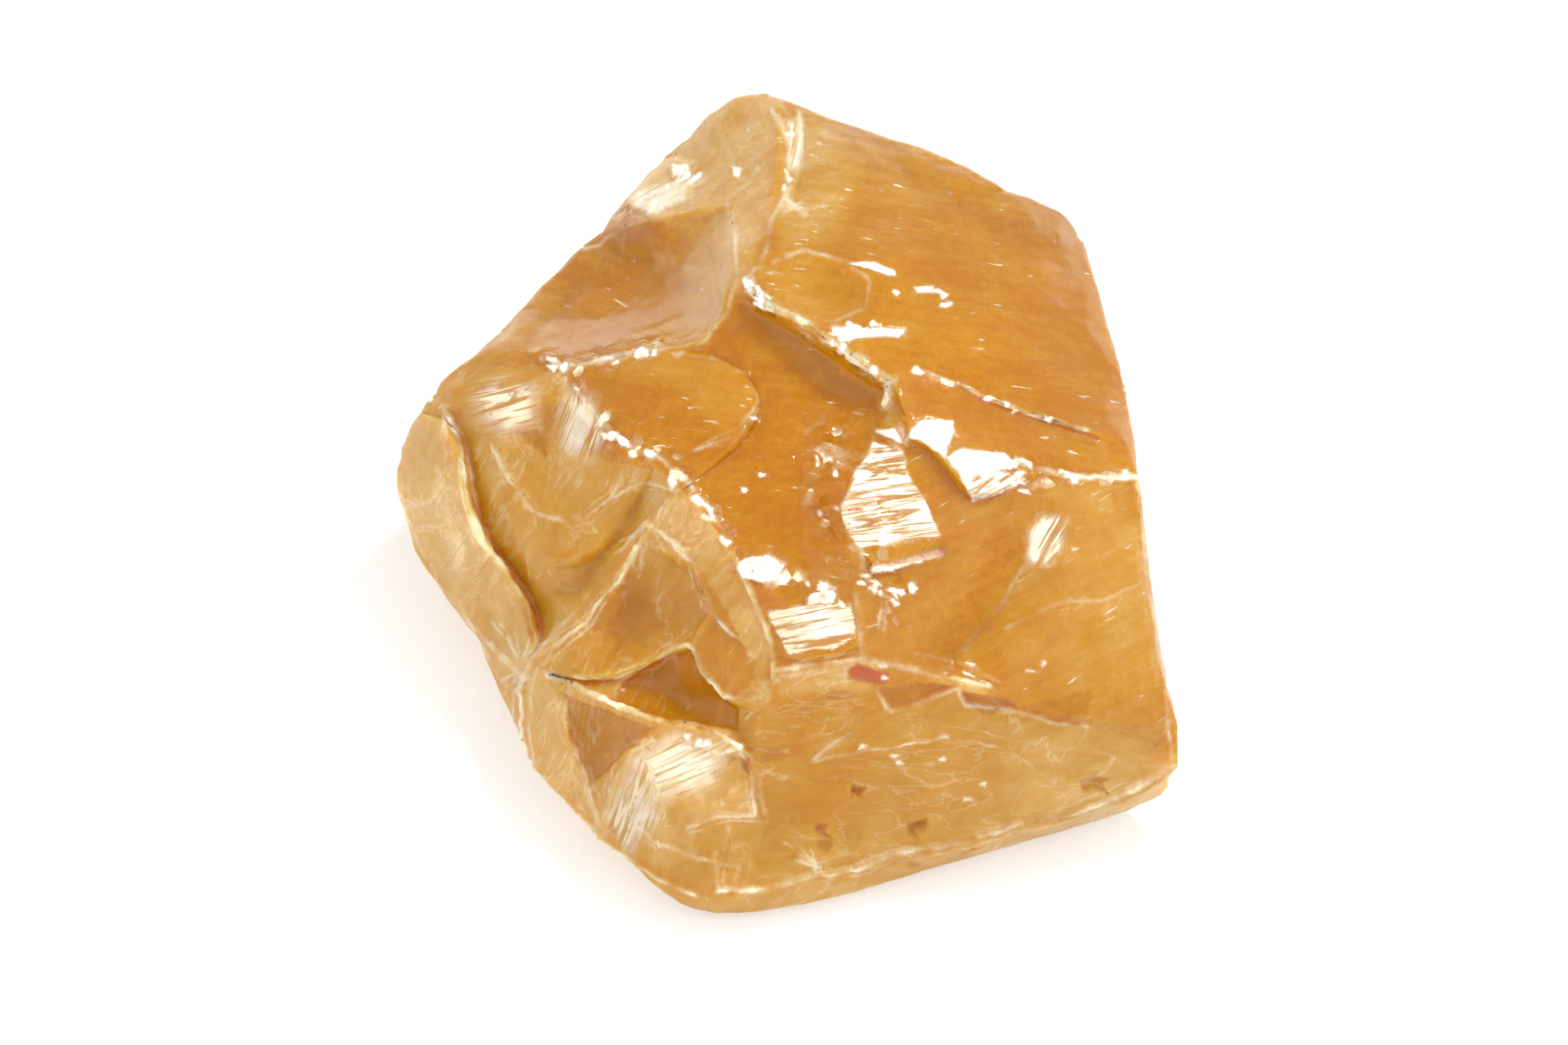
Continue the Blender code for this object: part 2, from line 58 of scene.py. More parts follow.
# The camera
# It looks down on the lump from the front, from far off through a long lens, as the photograph does.
# Places on the lump are given further down as pixels of that photograph, 1920 wide and 1280 high.
ELEVATION = math.radians(50)
LENS = 1000.0
SENSOR = 36.0
PICTURE = (1920, 1280)
PIXEL = 0.00007
AIM_ACROSS = -0.0002
AIM_UP = 0.0060
DISTANCE = PICTURE[0] * PIXEL * LENS / SENSOR

view_right = Vector((1, 0, 0))
view_up = Vector((0, math.sin(ELEVATION), math.cos(ELEVATION)))
view_back = Vector((0, -math.cos(ELEVATION), math.sin(ELEVATION)))
aim = view_right * AIM_ACROSS + view_up * AIM_UP
camera = bpy.data.objects.new("camera", bpy.data.cameras.new("camera"))
camera.data.lens = LENS
camera.data.sensor_width = SENSOR
camera.data.clip_end = 3 * DISTANCE
camera.location = aim + view_back * DISTANCE
camera.rotation_mode = "QUATERNION"
camera.rotation_quaternion = (-view_back).to_track_quat("-Z", "Y")
scene = bpy.context.scene
scene.collection.objects.link(camera)
scene.camera = camera


def pixels(points):
    """Where points of the lump appear in the picture."""
    away = points - np.array(camera.location)
    scale = LENS / SENSOR * PICTURE[0] / -(away @ np.array(view_back))
    across = PICTURE[0] / 2 + away @ np.array(view_right) * scale
    down = PICTURE[1] / 2 - away @ np.array(view_up) * scale
    return np.stack([across, down], axis=1)


# The studio light
# One small strong lamp stands high behind the right of the lump, and flashes in every break that faces half
# way between it and the camera. Three big soft ones at the left, the right and the front light the faces,
# and the studio behind the lump stays dimmer, so that its glassy upper faces keep their colour.
WORLD_STRENGTH = 0.65
BOUNCES = 3
SOFT_BOUNCES = 2
LAMPS = [
    ("key", Vector((0.33, 0.19, 0.86)), 0.16, 4.0),
    ("left", Vector((-0.80, -0.30, 0.60)), 1.20, 2.6),
    ("right", Vector((0.70, 0.0, 0.80)), 1.20, 3.0),
    ("front", Vector((0.10, -0.85, 0.60)), 1.20, 3.0),
]

for name, place, size, power in LAMPS:
    lamp = bpy.data.objects.new(name, bpy.data.lights.new(name, "AREA"))
    lamp.data.energy = power
    lamp.data.size = size
    lamp.location = place
    lamp.rotation_mode = "QUATERNION"
    lamp.rotation_quaternion = (-place).to_track_quat("-Z", "Y")
    scene.collection.objects.link(lamp)
world = bpy.data.worlds.new("studio")
world.use_nodes = True
world.node_tree.nodes["Background"].inputs["Color"].default_value = (1, 1, 1, 1)
world.node_tree.nodes["Background"].inputs["Strength"].default_value = WORLD_STRENGTH
scene.world = world
scene.view_settings.view_transform = "Standard"
scene.cycles.max_bounces = BOUNCES
scene.cycles.transmission_bounces = BOUNCES
scene.cycles.diffuse_bounces = SOFT_BOUNCES
scene.cycles.glossy_bounces = SOFT_BOUNCES
flash_normal = (LAMPS[0][1].normalized() + view_back).normalized()

# The lump
# Raw amber formed as one piece, broken and never polished: glassy shell-shaped breaks, frosted worn faces,
# and sharp thin ridges. Its solid is copied, cut finer, and given the small relief and the tones of its
# breaks.
MM = 0.001
FINE_EDGE = 0.85 * MM
CRACK_EDGE = 0.27 * MM
HIDDEN_EDGE = 1.4 * MM
CUTS = 5

# Faces, each with its outline in the picture, then how milky and how frosted it is, how its grain runs in
# degrees, and how strong its streaks, its swells and its splinters are, in millimetres.
FACES = [
    ([(945, 120), (1010, 140), (1215, 225), (1330, 275), (1410, 586), (1313, 583), (1259, 584),
      (1180, 550), (1107, 517), (1093, 469), (1045, 438), (990, 397), (938, 373), (914, 345),
      (940, 260)], 0.20, 0.10, -11, 0.055, 0.04, 0.0),
    ([(860, 90), (945, 120), (940, 260), (914, 345), (885, 400), (865, 300), (770, 250), (730, 220)],
      0.58, 0.30, -60, 0.04, 0.06, 0.05),
    ([(770, 250), (865, 300), (895, 400), (812, 440), (690, 450), (550, 450), (600, 370), (700, 270)],
      0.12, 0.25, -25, 0.03, 0.08, 0.03),
    ([(690, 455), (812, 428), (880, 395), (914, 345), (990, 397), (1093, 469), (1075, 528), (1031, 621),
      (1045, 690), (1055, 800), (1030, 815), (948, 830), (945, 790), (905, 690), (835, 600), (800, 578),
      (720, 555)], 0.10, 0.05, -8, 0.03, 0.07, 0.06),
    ([(1107, 517), (1180, 550), (1259, 584), (1313, 583), (1410, 586), (1450, 930), (1330, 888),
      (1245, 872), (1174, 845), (1070, 845), (1055, 800), (1045, 690), (1031, 621), (1075, 528)],
      0.27, 0.18, 27, 0.05, 0.04, 0.0),
    ([(948, 830), (1030, 815), (1070, 845), (1174, 845), (1245, 872), (1330, 888), (1460, 930),
      (1377, 973), (1245, 1015), (1046, 1069), (926, 1100), (928, 1010), (905, 950), (930, 900)],
      0.46, 0.85, 8, 0.02, 0.05, 0.0),
    ([(550, 450), (690, 455), (720, 555), (800, 578), (835, 600), (905, 690), (945, 790), (948, 830),
      (930, 900), (907, 916), (820, 884), (725, 849), (650, 809), (638, 845), (640, 910), (560, 790),
      (440, 640), (460, 500)], 0.50, 0.50, 55, 0.03, 0.05, 0.0),
    ([(650, 809), (725, 849), (820, 884), (907, 916), (905, 950), (928, 1010), (926, 1110), (850, 1120),
      (690, 1030), (610, 900)], 0.55, 0.45, 70, 0.03, 0.08, 0.05),
]
BACK = (0.35, 0.45, 35, 0.04, 0.10, 0.22)

# Patches that are clearer or milkier than the face they lie in, each with its outline, how milky it is, how
# wide its border fades in pixels, and how deep it has broken away, in millimetres.
PATCHES = [
    ([(1210, 240), (1330, 285), (1385, 480), (1300, 430), (1180, 380), (1080, 300), (1060, 230)],
      0.12, 60, 0.0),
    ([(950, 130), (1020, 150), (1050, 200), (1030, 280), (960, 310), (945, 240)], 0.62, 34, 0.0),
    ([(925, 325), (985, 305), (1065, 345), (1060, 378), (1020, 397), (960, 378)], 0.45, 24, 0.18),
    ([(1255, 430), (1390, 480), (1398, 560), (1180, 520), (1110, 470)], 0.05, 50, 0.0),
    ([(840, 270), (885, 262), (900, 340), (882, 395), (838, 432), (800, 425), (825, 380), (838, 330)],
      0.32, 26, 0.0),
    ([(560, 450), (640, 370), (700, 330), (720, 345), (640, 430), (600, 452)], 0.30, 40, 0.0),
    ([(690, 300), (770, 262), (830, 300), (820, 400), (740, 430), (680, 400)], 0.0, 40, 0.0),
    ([(695, 470), (800, 445), (890, 462), (905, 520), (880, 560), (790, 560), (730, 530)], 0.0, 30, 0.0),
    ([(812, 428), (905, 452), (929, 490), (900, 540), (830, 470), (740, 455)], 0.32, 22, 0.0),
    ([(920, 390), (990, 402), (1080, 470), (1072, 520), (1010, 500), (940, 470)], 0.15, 20, 0.0),
    ([(1110, 560), (1170, 590), (1170, 640), (1140, 630)], 0.10, 14, 0.0),
    ([(1270, 592), (1396, 592), (1400, 650), (1320, 660)], 0.45, 16, 0.0),
    ([(1360, 600), (1390, 596), (1396, 640), (1372, 650)], 0.18, 8, 0.0),
    ([(1270, 662), (1400, 640), (1420, 840), (1330, 850), (1240, 800), (1224, 745)], 0.42, 40, 0.0),
    ([(1075, 740), (1170, 700), (1220, 745), (1178, 795), (1090, 800)], 0.32, 24, 0.0),
    ([(1060, 700), (1100, 745), (1110, 800), (1062, 810)], 0.15, 16, 0.0),
    ([(950, 818), (1040, 806), (1087, 812), (1060, 845), (1000, 850), (955, 853)], 0.66, 7, 0.0),
    ([(1073, 845), (1120, 836), (1170, 832), (1174, 845), (1130, 860), (1091, 874)], 0.08, 4, 0.22),
    ([(1133, 830), (1170, 828), (1216, 840), (1210, 852), (1176, 848)], 0.62, 5, -0.10),
    ([(1176, 849), (1236, 857), (1245, 870), (1212, 876), (1183, 866)], 0.02, 4, 0.20),
    ([(1245, 866), (1336, 845), (1332, 886), (1319, 890)], 0.12, 6, 0.0),
    ([(960, 870), (1080, 850), (1110, 880), (1030, 905), (950, 940), (935, 910)], 0.40, 22, 0.0),
    ([(1000, 932), (1162, 905), (1250, 925), (1210, 990), (1050, 1040), (950, 1020)], 0.36, 40, 0.0),
    ([(1245, 890), (1440, 930), (1377, 973), (1245, 1005), (1225, 940)], 0.60, 30, 0.0),
    ([(926, 1092), (1046, 1069), (1245, 1015), (1377, 973), (1440, 944), (1440, 1000), (900, 1130)],
      0.50, 5, 0.0),
    ([(905, 915), (960, 914), (955, 935), (920, 940)], 0.25, 8, 0.10),
    ([(1044, 960), (1052, 965), (1060, 963), (1057, 972), (1061, 979), (1050, 974), (1041, 976)],
      0.0, 4, 0.20),
    ([(996, 1016), (1004, 1006), (1018, 1010), (1011, 1016), (1019, 1026), (1004, 1022)], 0.05, 4, 0.20),
    ([(1110, 1006), (1124, 1008), (1137, 1001), (1133, 1013), (1120, 1017), (1124, 1030), (1112, 1020)],
      0.05, 4, 0.20),
    ([(1320, 956), (1336, 950), (1356, 953), (1350, 961), (1358, 972), (1340, 966), (1328, 971)],
      0.15, 4, 0.18),
    ([(904, 926), (918, 930), (916, 948), (905, 946)], 0.0, 4, 0.30),
    ([(480, 520), (540, 500), (562, 560), (575, 620), (590, 665), (560, 720), (470, 640)], 0.75, 22, 0.0),
    ([(590, 665), (622, 700), (645, 735), (655, 800), (610, 830), (540, 740)], 0.62, 10, 0.0),
    ([(548, 500), (566, 500), (590, 600), (640, 680), (668, 780), (655, 800), (640, 730), (575, 622)],
      0.15, 9, 0.08),
    ([(585, 472), (650, 460), (700, 520), (690, 560), (640, 545), (590, 520)], 0.30, 22, 0.0),
    ([(600, 545), (700, 560), (790, 590), (780, 640), (700, 690), (620, 640), (585, 590)], 0.50, 30, 0.0),
    ([(633, 529), (671, 526), (668, 560)], 0.05, 6, 0.08),
    ([(790, 600), (850, 610), (905, 690), (945, 790), (935, 820), (870, 750), (830, 680), (780, 640)],
      0.68, 8, 0.0),
    ([(760, 700), (850, 680), (872, 745), (850, 780), (800, 825), (700, 822), (690, 790)], 0.34, 12, 0.0),
    ([(850, 690), (880, 730), (930, 830), (900, 855), (866, 830), (843, 791)], 0.25, 6, 0.0),
    ([(770, 832), (800, 812), (845, 795), (866, 838), (905, 870), (905, 895), (820, 882), (740, 855)],
      0.0, 5, 0.25),
    ([(690, 850), (740, 870), (800, 892), (745, 940), (722, 965), (700, 930)], 0.12, 7, 0.20),
    ([(645, 825), (680, 845), (697, 900), (722, 965), (735, 1020), (690, 990), (650, 950), (640, 900)],
      0.66, 8, 0.0),
    ([(745, 965), (790, 905), (850, 895), (905, 915), (925, 1000), (915, 1060), (800, 1060)],
      0.74, 12, 0.0),
    ([(850, 1010), (928, 990), (930, 1090), (860, 1092)], 0.52, 10, 0.0),
    ([(760, 120), (820, 160), (860, 140), (905, 240), (860, 290), (790, 250), (740, 230)], 0.52, 22, 0.0),
    ([(795, 190), (850, 195), (850, 240), (800, 262), (765, 250)], 0.85, 8, 0.0),
]

# Crests and cracks: thin whitish lines, each with its strength, its half width in pixels and its height in
# millimetres, negative for a cleft.
LINES = [
    (1.0, 4.0, 0.16, [(914, 345), (924, 362), (938, 373), (964, 384), (990, 397), (1020, 420),
      (1045, 438), (1070, 455), (1093, 469), (1090, 482), (1084, 494)]),
    (0.8, 2.5, 0.08, [(1030, 412), (1060, 406), (1107, 403)]),
    (0.6, 2.0, 0.06, [(1110, 448), (1151, 462), (1203, 486), (1244, 500), (1290, 516), (1330, 528)]),
    (0.9, 3.0, 0.10, [(1225, 558), (1265, 572), (1313, 583), (1350, 585), (1392, 586)]),
    (0.5, 2.5, 0.05, [(947, 135), (962, 170), (968, 200), (960, 240), (945, 270), (938, 310), (914, 345)]),
    (0.6, 3.0, 0.05, [(978, 140), (980, 180), (975, 215), (960, 245), (985, 262)]),
    (0.4, 1.8, 0.04, [(925, 330), (985, 306), (1040, 322), (1065, 345), (1060, 375), (1020, 395)]),
    (0.5, 2.0, 0.05, [(890, 250), (900, 290), (903, 340), (890, 385), (865, 415), (830, 434)]),
    (0.5, 2.0, 0.04, [(800, 262), (770, 270), (735, 300), (700, 305), (650, 345)]),
    (0.8, 3.5, 0.10, [(665, 440), (690, 447), (725, 445), (760, 436), (790, 428)]),
    (0.3, 1.8, 0.05, [(850, 434), (880, 440), (915, 459), (929, 490), (918, 515), (900, 548)]),
    (0.5, 1.8, 0.05, [(850, 552), (880, 540), (912, 532), (930, 500)]),
    (0.5, 2.2, 0.12, [(700, 470), (728, 505), (750, 530), (775, 548), (800, 560), (830, 575),
      (850, 605), (878, 640), (905, 690), (928, 745), (945, 790), (948, 830)]),
    (0.7, 2.2, 0.10, [(545, 500), (560, 530), (566, 560), (575, 620), (590, 665), (622, 700),
      (645, 735), (660, 775), (655, 805)]),
    (0.5, 1.8, 0.06, [(600, 545), (625, 590), (650, 625), (690, 640), (720, 632), (748, 610), (762, 585)]),
    (0.5, 1.6, 0.04, [(748, 610), (790, 590), (830, 600)]),
    (0.7, 2.0, 0.08, [(784, 663), (756, 710), (717, 762), (680, 790), (650, 809), (638, 845),
      (638, 900), (650, 950), (675, 975), (700, 990), (735, 1027), (770, 1052), (804, 1074), (851, 1096)]),
    (0.5, 1.6, 0.05, [(784, 663), (800, 640), (810, 620)]),
    (0.6, 2.2, 0.08, [(790, 640), (825, 665), (850, 690), (870, 750), (900, 780), (920, 800)]),
    (0.7, 1.8, 0.08, [(843, 791), (852, 812), (862, 830), (885, 852), (920, 858), (945, 850)]),
    (0.6, 1.8, 0.06, [(700, 828), (757, 830), (795, 815), (824, 796), (843, 791)]),
    (0.9, 2.6, 0.12, [(673, 825), (725, 849), (776, 872), (820, 884), (875, 896), (907, 916)]),
    (0.5, 1.8, 0.05, [(697, 850), (690, 880), (697, 905), (722, 965), (735, 1020)]),
    (0.5, 1.8, 0.05, [(735, 1024), (750, 960), (775, 920), (800, 905)]),
    (0.8, 3.0, 0.08, [(735, 1026), (738, 1024)]),
    (0.5, 2.0, 0.06, [(905, 915), (918, 950), (925, 1000), (880, 1000), (840, 1015)]),
    (0.4, 2.0, 0.05, [(765, 990), (800, 1030), (850, 1050), (905, 1060)]),
    (0.5, 1.8, -0.06, [(996, 930), (1018, 912), (1038, 899)]),
    (0.6, 1.6, 0.05, [(1000, 932), (1080, 917), (1162, 903)]),
    (0.4, 1.6, 0.05, [(1190, 906), (1224, 915), (1240, 925), (1261, 936)]),
    (0.3, 1.6, 0.04, [(990, 960), (1030, 950), (1070, 965)]),
    (0.7, 2.6, 0.10, [(880, 1090), (926, 1088), (984, 1077), (1046, 1065), (1096, 1045), (1129, 1039),
      (1179, 1032), (1245, 1011), (1319, 995), (1377, 970), (1440, 941)]),
    (0.5, 2.0, 0.06, [(1073, 845), (1091, 872), (1130, 858), (1174, 845), (1183, 866), (1245, 872),
      (1290, 884), (1332, 890)]),
    (0.6, 2.0, 0.06, [(952, 820), (1000, 812), (1060, 806), (1110, 818), (1150, 828), (1216, 840)]),
    (0.3, 1.8, -0.05, [(1270, 662), (1253, 696), (1224, 745), (1178, 795)]),
    (0.4, 2.0, -0.05, [(1048, 729), (1048, 762), (1054, 787), (1058, 807)]),
    (0.5, 2.0, 0.05, [(1392, 590), (1398, 640), (1405, 700), (1418, 790), (1430, 880), (1436, 930)]),
    (0.3, 1.6, 0.04, [(1230, 770), (1290, 740), (1350, 735), (1395, 715)]),
    (0.3, 1.6, 0.04, [(1120, 800), (1180, 812), (1225, 835)]),
    (0.4, 1.8, 0.04, [(478, 560), (500, 640), (540, 720), (580, 770), (610, 830), (636, 850)]),
    (0.4, 1.6, 0.04, [(560, 760), (600, 790), (640, 830)]),
    (0.6, 2.6, 0.08, [(1031, 621), (1046, 588), (1069, 542), (1075, 528), (1104, 555)]),
    (0.5, 2.4, 0.06, [(1031, 621), (1042, 646), (1054, 675), (1058, 704), (1075, 725), (1100, 738)]),
]

# Fans of fine lines that spread from where a break began, each with how many lines there are, how long they
# are, and between which directions they run, in degrees.
FANS = [
    (9, 120, 20, 85, (737, 1026)),
    (6, 70, 150, 215, (737, 1026)),
    (7, 90, 200, 262, (652, 812)),
    (6, 110, 95, 150, (648, 830)),
    (5, 60, 20, 65, (660, 800)),
    (7, 80, 215, 275, (790, 640)),
    (5, 70, 300, 345, (790, 640)),
    (5, 60, 160, 200, (905, 915)),
    (5, 70, 60, 110, (880, 1085)),
    (4, 80, 250, 280, (545, 500)),
    (5, 50, 160, 230, (945, 850)),
    (5, 60, 100, 170, (1000, 1066)),
    (5, 60, 10, 60, (955, 262)),
    (4, 50, 255, 290, (1080, 735)),
]
FAN_STRENGTH = 0.55
FAN_STEPS = 5
FAN_HALF = 1.3
FAN_HEIGHT = 0.03

# Each strong long crest of the left faces has a fainter strand on either side, some pixels off.
STRAND_STRENGTH = 0.5
STRAND_HALF = 1.3
STRAND_HEIGHT = 0.4
STRANDS_BELOW = 440
STRANDS_LEFT_OF = 960

# Rows of splinters, small broken chips that stand every way and flash here and there, partly as painted
# glints, and how wide each row is.
SPLINTERS = [
    (16, [(660, 438), (700, 447), (760, 436), (800, 425)]),
    (16, [(700, 470), (728, 505), (775, 545), (830, 575), (878, 640), (905, 690)]),
    (12, [(914, 345), (945, 375), (990, 400), (1045, 440), (1093, 472)]),
    (18, [(905, 690), (950, 705), (1010, 730)]),
    (14, [(690, 285), (740, 262), (800, 240), (850, 215)]),
    (24, [(1075, 560), (1080, 640), (1060, 700), (1100, 720)]),
    (12, [(1190, 580), (1240, 590), (1300, 584), (1392, 588)]),
    (16, [(800, 910), (850, 910), (900, 925), (880, 960)]),
    (30, [(1020, 540), (1010, 600), (1020, 660)]),
]
SPLINTER_SIZE = 1.5 * MM
SPLINTER_HEIGHT = 0.20

# Cleavage faces: small and flat, all lying the same way, so that they flash together, their flash also
# painted on as a painted highlight. The striped ones are painted highlights that flash in stripes.
FLAKES = [
    [(1112, 534), (1129, 515), (1166, 517), (1162, 542), (1156, 561), (1129, 538)],
    [(1158, 560), (1179, 550), (1232, 557), (1245, 572), (1200, 580), (1170, 574)],
    [(1075, 530), (1104, 521), (1110, 546), (1092, 536)],
    [(1020, 400), (1060, 402), (1107, 403), (1100, 411), (1048, 413), (1030, 418)],
    [(1067, 696), (1110, 684), (1156, 671), (1155, 679), (1110, 692), (1068, 702)],
    [(904, 692), (915, 684), (945, 682), (963, 688), (958, 702), (935, 713), (912, 708)],
    [(990, 728), (1010, 721), (1026, 726), (1020, 736), (988, 740)],
    [(1043, 322), (1070, 322), (1096, 334), (1096, 338), (1066, 330)],
    [(1120, 352), (1143, 352), (1142, 358), (1122, 358)],
    [(822, 203), (848, 203), (846, 212), (824, 214)],
    [(898, 205), (908, 206), (907, 218), (900, 217)],
]
STRIPED_HIGHLIGHTS = [
    (8, 3, [(1069, 542), (1104, 555), (1112, 580), (1129, 608), (1141, 633), (1150, 655), (1100, 664),
      (1050, 670),
            (1036, 646), (1031, 621), (1046, 588)]),
    (10, 3, [(940, 752), (975, 740), (1040, 741), (1046, 780), (1020, 792), (965, 800)]),
    (60, 10, [(1261, 650), (1275, 633), (1303, 636), (1298, 670), (1285, 691), (1262, 688)]),
    (35, 3, [(1175, 575), (1240, 578), (1259, 590), (1224, 604), (1190, 615)]),
    (15, 26, [(585, 485), (610, 468), (650, 475), (650, 515), (620, 528), (592, 512)]),
    (70, 24, [(688, 505), (700, 478), (722, 488), (738, 540), (716, 558), (692, 545)]),
    (25, 26, [(780, 935), (830, 905), (885, 915), (870, 955), (800, 975)]),
    (70, 20, [(745, 1000), (780, 940), (800, 1000), (770, 1040)]),
    (80, 10, [(965, 150), (978, 150), (980, 200), (968, 205)]),
    (30, 14, [(775, 235), (830, 222), (838, 245), (800, 262), (778, 255)]),
]
# Glints: rows of small flakes that flash too, with painted highlights as the flakes have, each with how many
# there are, their size, how far they scatter, and how they're turned in degrees.
GLINTS = [
    (6, 14, 7, 30, [(745, 520), (775, 548), (800, 560)]),
    (6, 15, 8, 45, [(802, 566), (835, 585), (860, 622), (872, 645)]),
    (3, 8, 5, 60, [(880, 650), (905, 680)]),
    (5, 12, 5, 20, [(668, 440), (690, 452), (715, 462)]),
    (5, 12, 4, -15, [(752, 440), (775, 434), (800, 430)]),
    (12, 11, 6, 35, [(914, 345), (938, 373), (990, 397)]),
    (9, 8, 5, 35, [(1000, 408), (1045, 438), (1093, 469), (1086, 490)]),
    (8, 9, 6, 5, [(1020, 404), (1060, 400), (1098, 398)]),
    (8, 9, 3, 18, [(1225, 558), (1265, 572), (1313, 583), (1392, 586)]),
    (6, 8, 3, 20, [(1110, 448), (1203, 486), (1330, 528)]),
    (7, 12, 9, 0, [(985, 715), (1030, 735)]),
    (14, 8, 14, 30, [(1056, 700), (1090, 730), (1120, 735)]),
    (14, 5, 16, 60, [(1010, 540), (1006, 600), (1022, 660)]),
    (10, 9, 14, 10, [(1190, 590), (1250, 592)]),
    (8, 9, 9, -20, [(830, 912), (870, 905), (905, 925)]),
    (8, 9, 8, -40, [(700, 290), (750, 262), (800, 245), (850, 215)]),
    (8, 6, 9, 80, [(962, 150), (970, 200), (962, 250)]),
    (6, 8, 14, -8, [(1080, 348), (1180, 362)]),
    (8, 5, 20, 5, [(1060, 820), (1180, 838), (1290, 800)]),
    (10, 5, 24, 5, [(1000, 930), (1200, 960)]),
    (6, 7, 8, 40, [(500, 470), (530, 490)]),
    (5, 5, 40, -8, [(860, 500), (980, 640)]),
]
GLINT_CORNERS = 5

# Creases of the solid that are softer in the stone.
SOFTENED = [
    [(530, 480), (575, 485), (630, 590), (675, 690), (690, 790), (640, 810), (600, 700), (550, 600)],
    [(570, 560), (640, 560), (760, 560), (820, 590), (790, 650), (700, 690), (610, 680)],
    [(640, 790), (740, 860), (800, 890), (740, 960), (690, 940)],
]
SOFTENINGS = 22

# Stains of rust, and how strong each is.
RUST = [[(1037, 822), (1050, 812), (1089, 826), (1082, 842), (1060, 838), (1040, 832)],
        [(975, 868), (1020, 846), (1056, 843), (1050, 850), (1010, 860)],
        [(905, 930), (917, 934), (915, 948), (906, 944)],
        [(1044, 960), (1052, 965), (1060, 963), (1057, 972), (1050, 974), (1041, 976)],
        [(996, 1016), (1004, 1006), (1018, 1010), (1011, 1016), (1019, 1026), (1004, 1022)],
        [(1110, 1006), (1124, 1008), (1133, 1013), (1120, 1017), (1124, 1030), (1112, 1020)],
        [(1336, 950), (1356, 953), (1350, 961), (1340, 966)]]
RUST_STRENGTHS = (1.0, 0.45, 0.4, 0.25, 0.25, 0.25, 0.15)

# Outlines are bent by up to WOBBLE pixels. A vertex moves onto a line that is nearer than SNAP pixels and than
# SNAP_SHARE of its shortest edge. Borders under CRISP pixels are kept sharp.
WOBBLE = 3.0
WOBBLE_LENGTH = 30.0
SNAP = 2.2
SNAP_SHARE = 0.45
CRISP = 9
SHOWN_SLOPE = 0.02
STEEPEST = 0.35
RIM_GLOW_WIDTH = 0.45
RIM_GLOW_START = -0.3
FAR_OFF = 1e3


def foot(corners, closed, spots, border=60.0):
    """How far each spot of the picture is from a line, and the way to the line's nearest point, in pixels."""
    corners = np.array(corners, dtype=float)
    far = np.full(len(spots), FAR_OFF)
    way = np.zeros((len(spots), 2))
    close = ((spots > corners.min(axis=0) - border) & (spots < corners.max(axis=0) + border)).all(axis=1)
    chosen = spots[close]
    best = np.full(len(chosen), FAR_OFF)
    best_way = np.zeros((len(chosen), 2))
    for a, b in zip(corners if closed else corners[:-1], np.roll(corners, -1, axis=0)):
        along = b - a
        share = np.clip(((chosen - a) @ along) / (along @ along), 0, 1)
        offset = a + share[:, None] * along - chosen
        length = np.hypot(offset[:, 0], offset[:, 1])
        nearer = length < best
        best[nearer] = length[nearer]
        best_way[nearer] = offset[nearer]
    far[close] = best
    way[close] = best_way
    return far, way


def reach(outline, spots):
    """How far inside an outline each spot of the picture is, in pixels. Outside it's negative."""
    corners = np.array(outline, dtype=float)
    away, _ = foot(outline, True, spots)
    chosen = away < FAR_OFF
    x, y = spots[chosen].T
    within = np.zeros(len(x), dtype=bool)
    for a, b in zip(corners, np.roll(corners, -1, axis=0)):
        slope = (b[0] - a[0]) / (b[1] - a[1]) if b[1] != a[1] else 0.0
        within ^= ((a[1] > y) != (b[1] > y)) & (x < a[0] + (y - a[1]) * slope)
    signs = np.full(len(spots), -1.0)
    signs[chosen] = np.where(within, 1.0, -1.0)
    return signs * away


def ease(low, high, values):
    """0 below low, 1 above high, and smooth between them."""
    share = np.clip((values - low) / (high - low), 0, 1)
    return share * share * (3 - 2 * share)


def read(owner, name, width=1, kind=np.float32):
    """The values of a mesh's vertices or edges as an array."""
    values = np.empty(len(owner) * width, dtype=kind)
    owner.foreach_get(name, values)
    return values.reshape(-1, width).astype(float) if width > 1 else values


def wobbled(spots):
    """Spots of the picture shifted a little, so that straight outlines come out uneven."""
    shift = np.array([noise.noise_vector(Vector((x, y, 0)) / WOBBLE_LENGTH)[:2] for x, y in spots])
    fine = np.array([noise.noise_vector(Vector((x, y, 9)) * 4 / WOBBLE_LENGTH)[:2] for x, y in spots])
    return spots + WOBBLE * (shift + 0.5 * fine)


SEED = 5

chance = random.Random(SEED)
noise.seed_set(SEED)
drawn = list(LINES)
for strength, _, height, line in LINES:
    start_across, start_down = line[0]
    if strength >= 0.5 and start_down > STRANDS_BELOW and start_across < STRANDS_LEFT_OF and len(line) > 3:
        for side in (-1, 1):
            offset = side * chance.uniform(6, 12)
            strand = [(x + offset * math.sin(math.pi * (i + 0.5) / len(line)) + chance.uniform(-2, 2),
                       y + offset * 0.6 * math.sin(math.pi * i / len(line)) + chance.uniform(-2, 2))
                      for i, (x, y) in enumerate(line)]
            drawn.append((strength * STRAND_STRENGTH, STRAND_HALF, height * STRAND_HEIGHT, strand))
for many, length, start, stop, (x, y) in FANS:
    for _ in range(many):
        way = math.radians(chance.uniform(start, stop))
        bend = chance.uniform(-0.5, 0.5)
        step = length * chance.uniform(0.4, 1.0) / FAN_STEPS
        px, py = x + chance.uniform(-5, 5), y + chance.uniform(-5, 5)
        ray = [(px, py)]
        for _ in range(FAN_STEPS):
            px, py = px + step * math.cos(way), py - step * math.sin(way)
            way += bend / FAN_STEPS
            ray.append((px, py))
        drawn.append((FAN_STRENGTH * chance.uniform(0.5, 1.0), FAN_HALF, FAN_HEIGHT, ray))
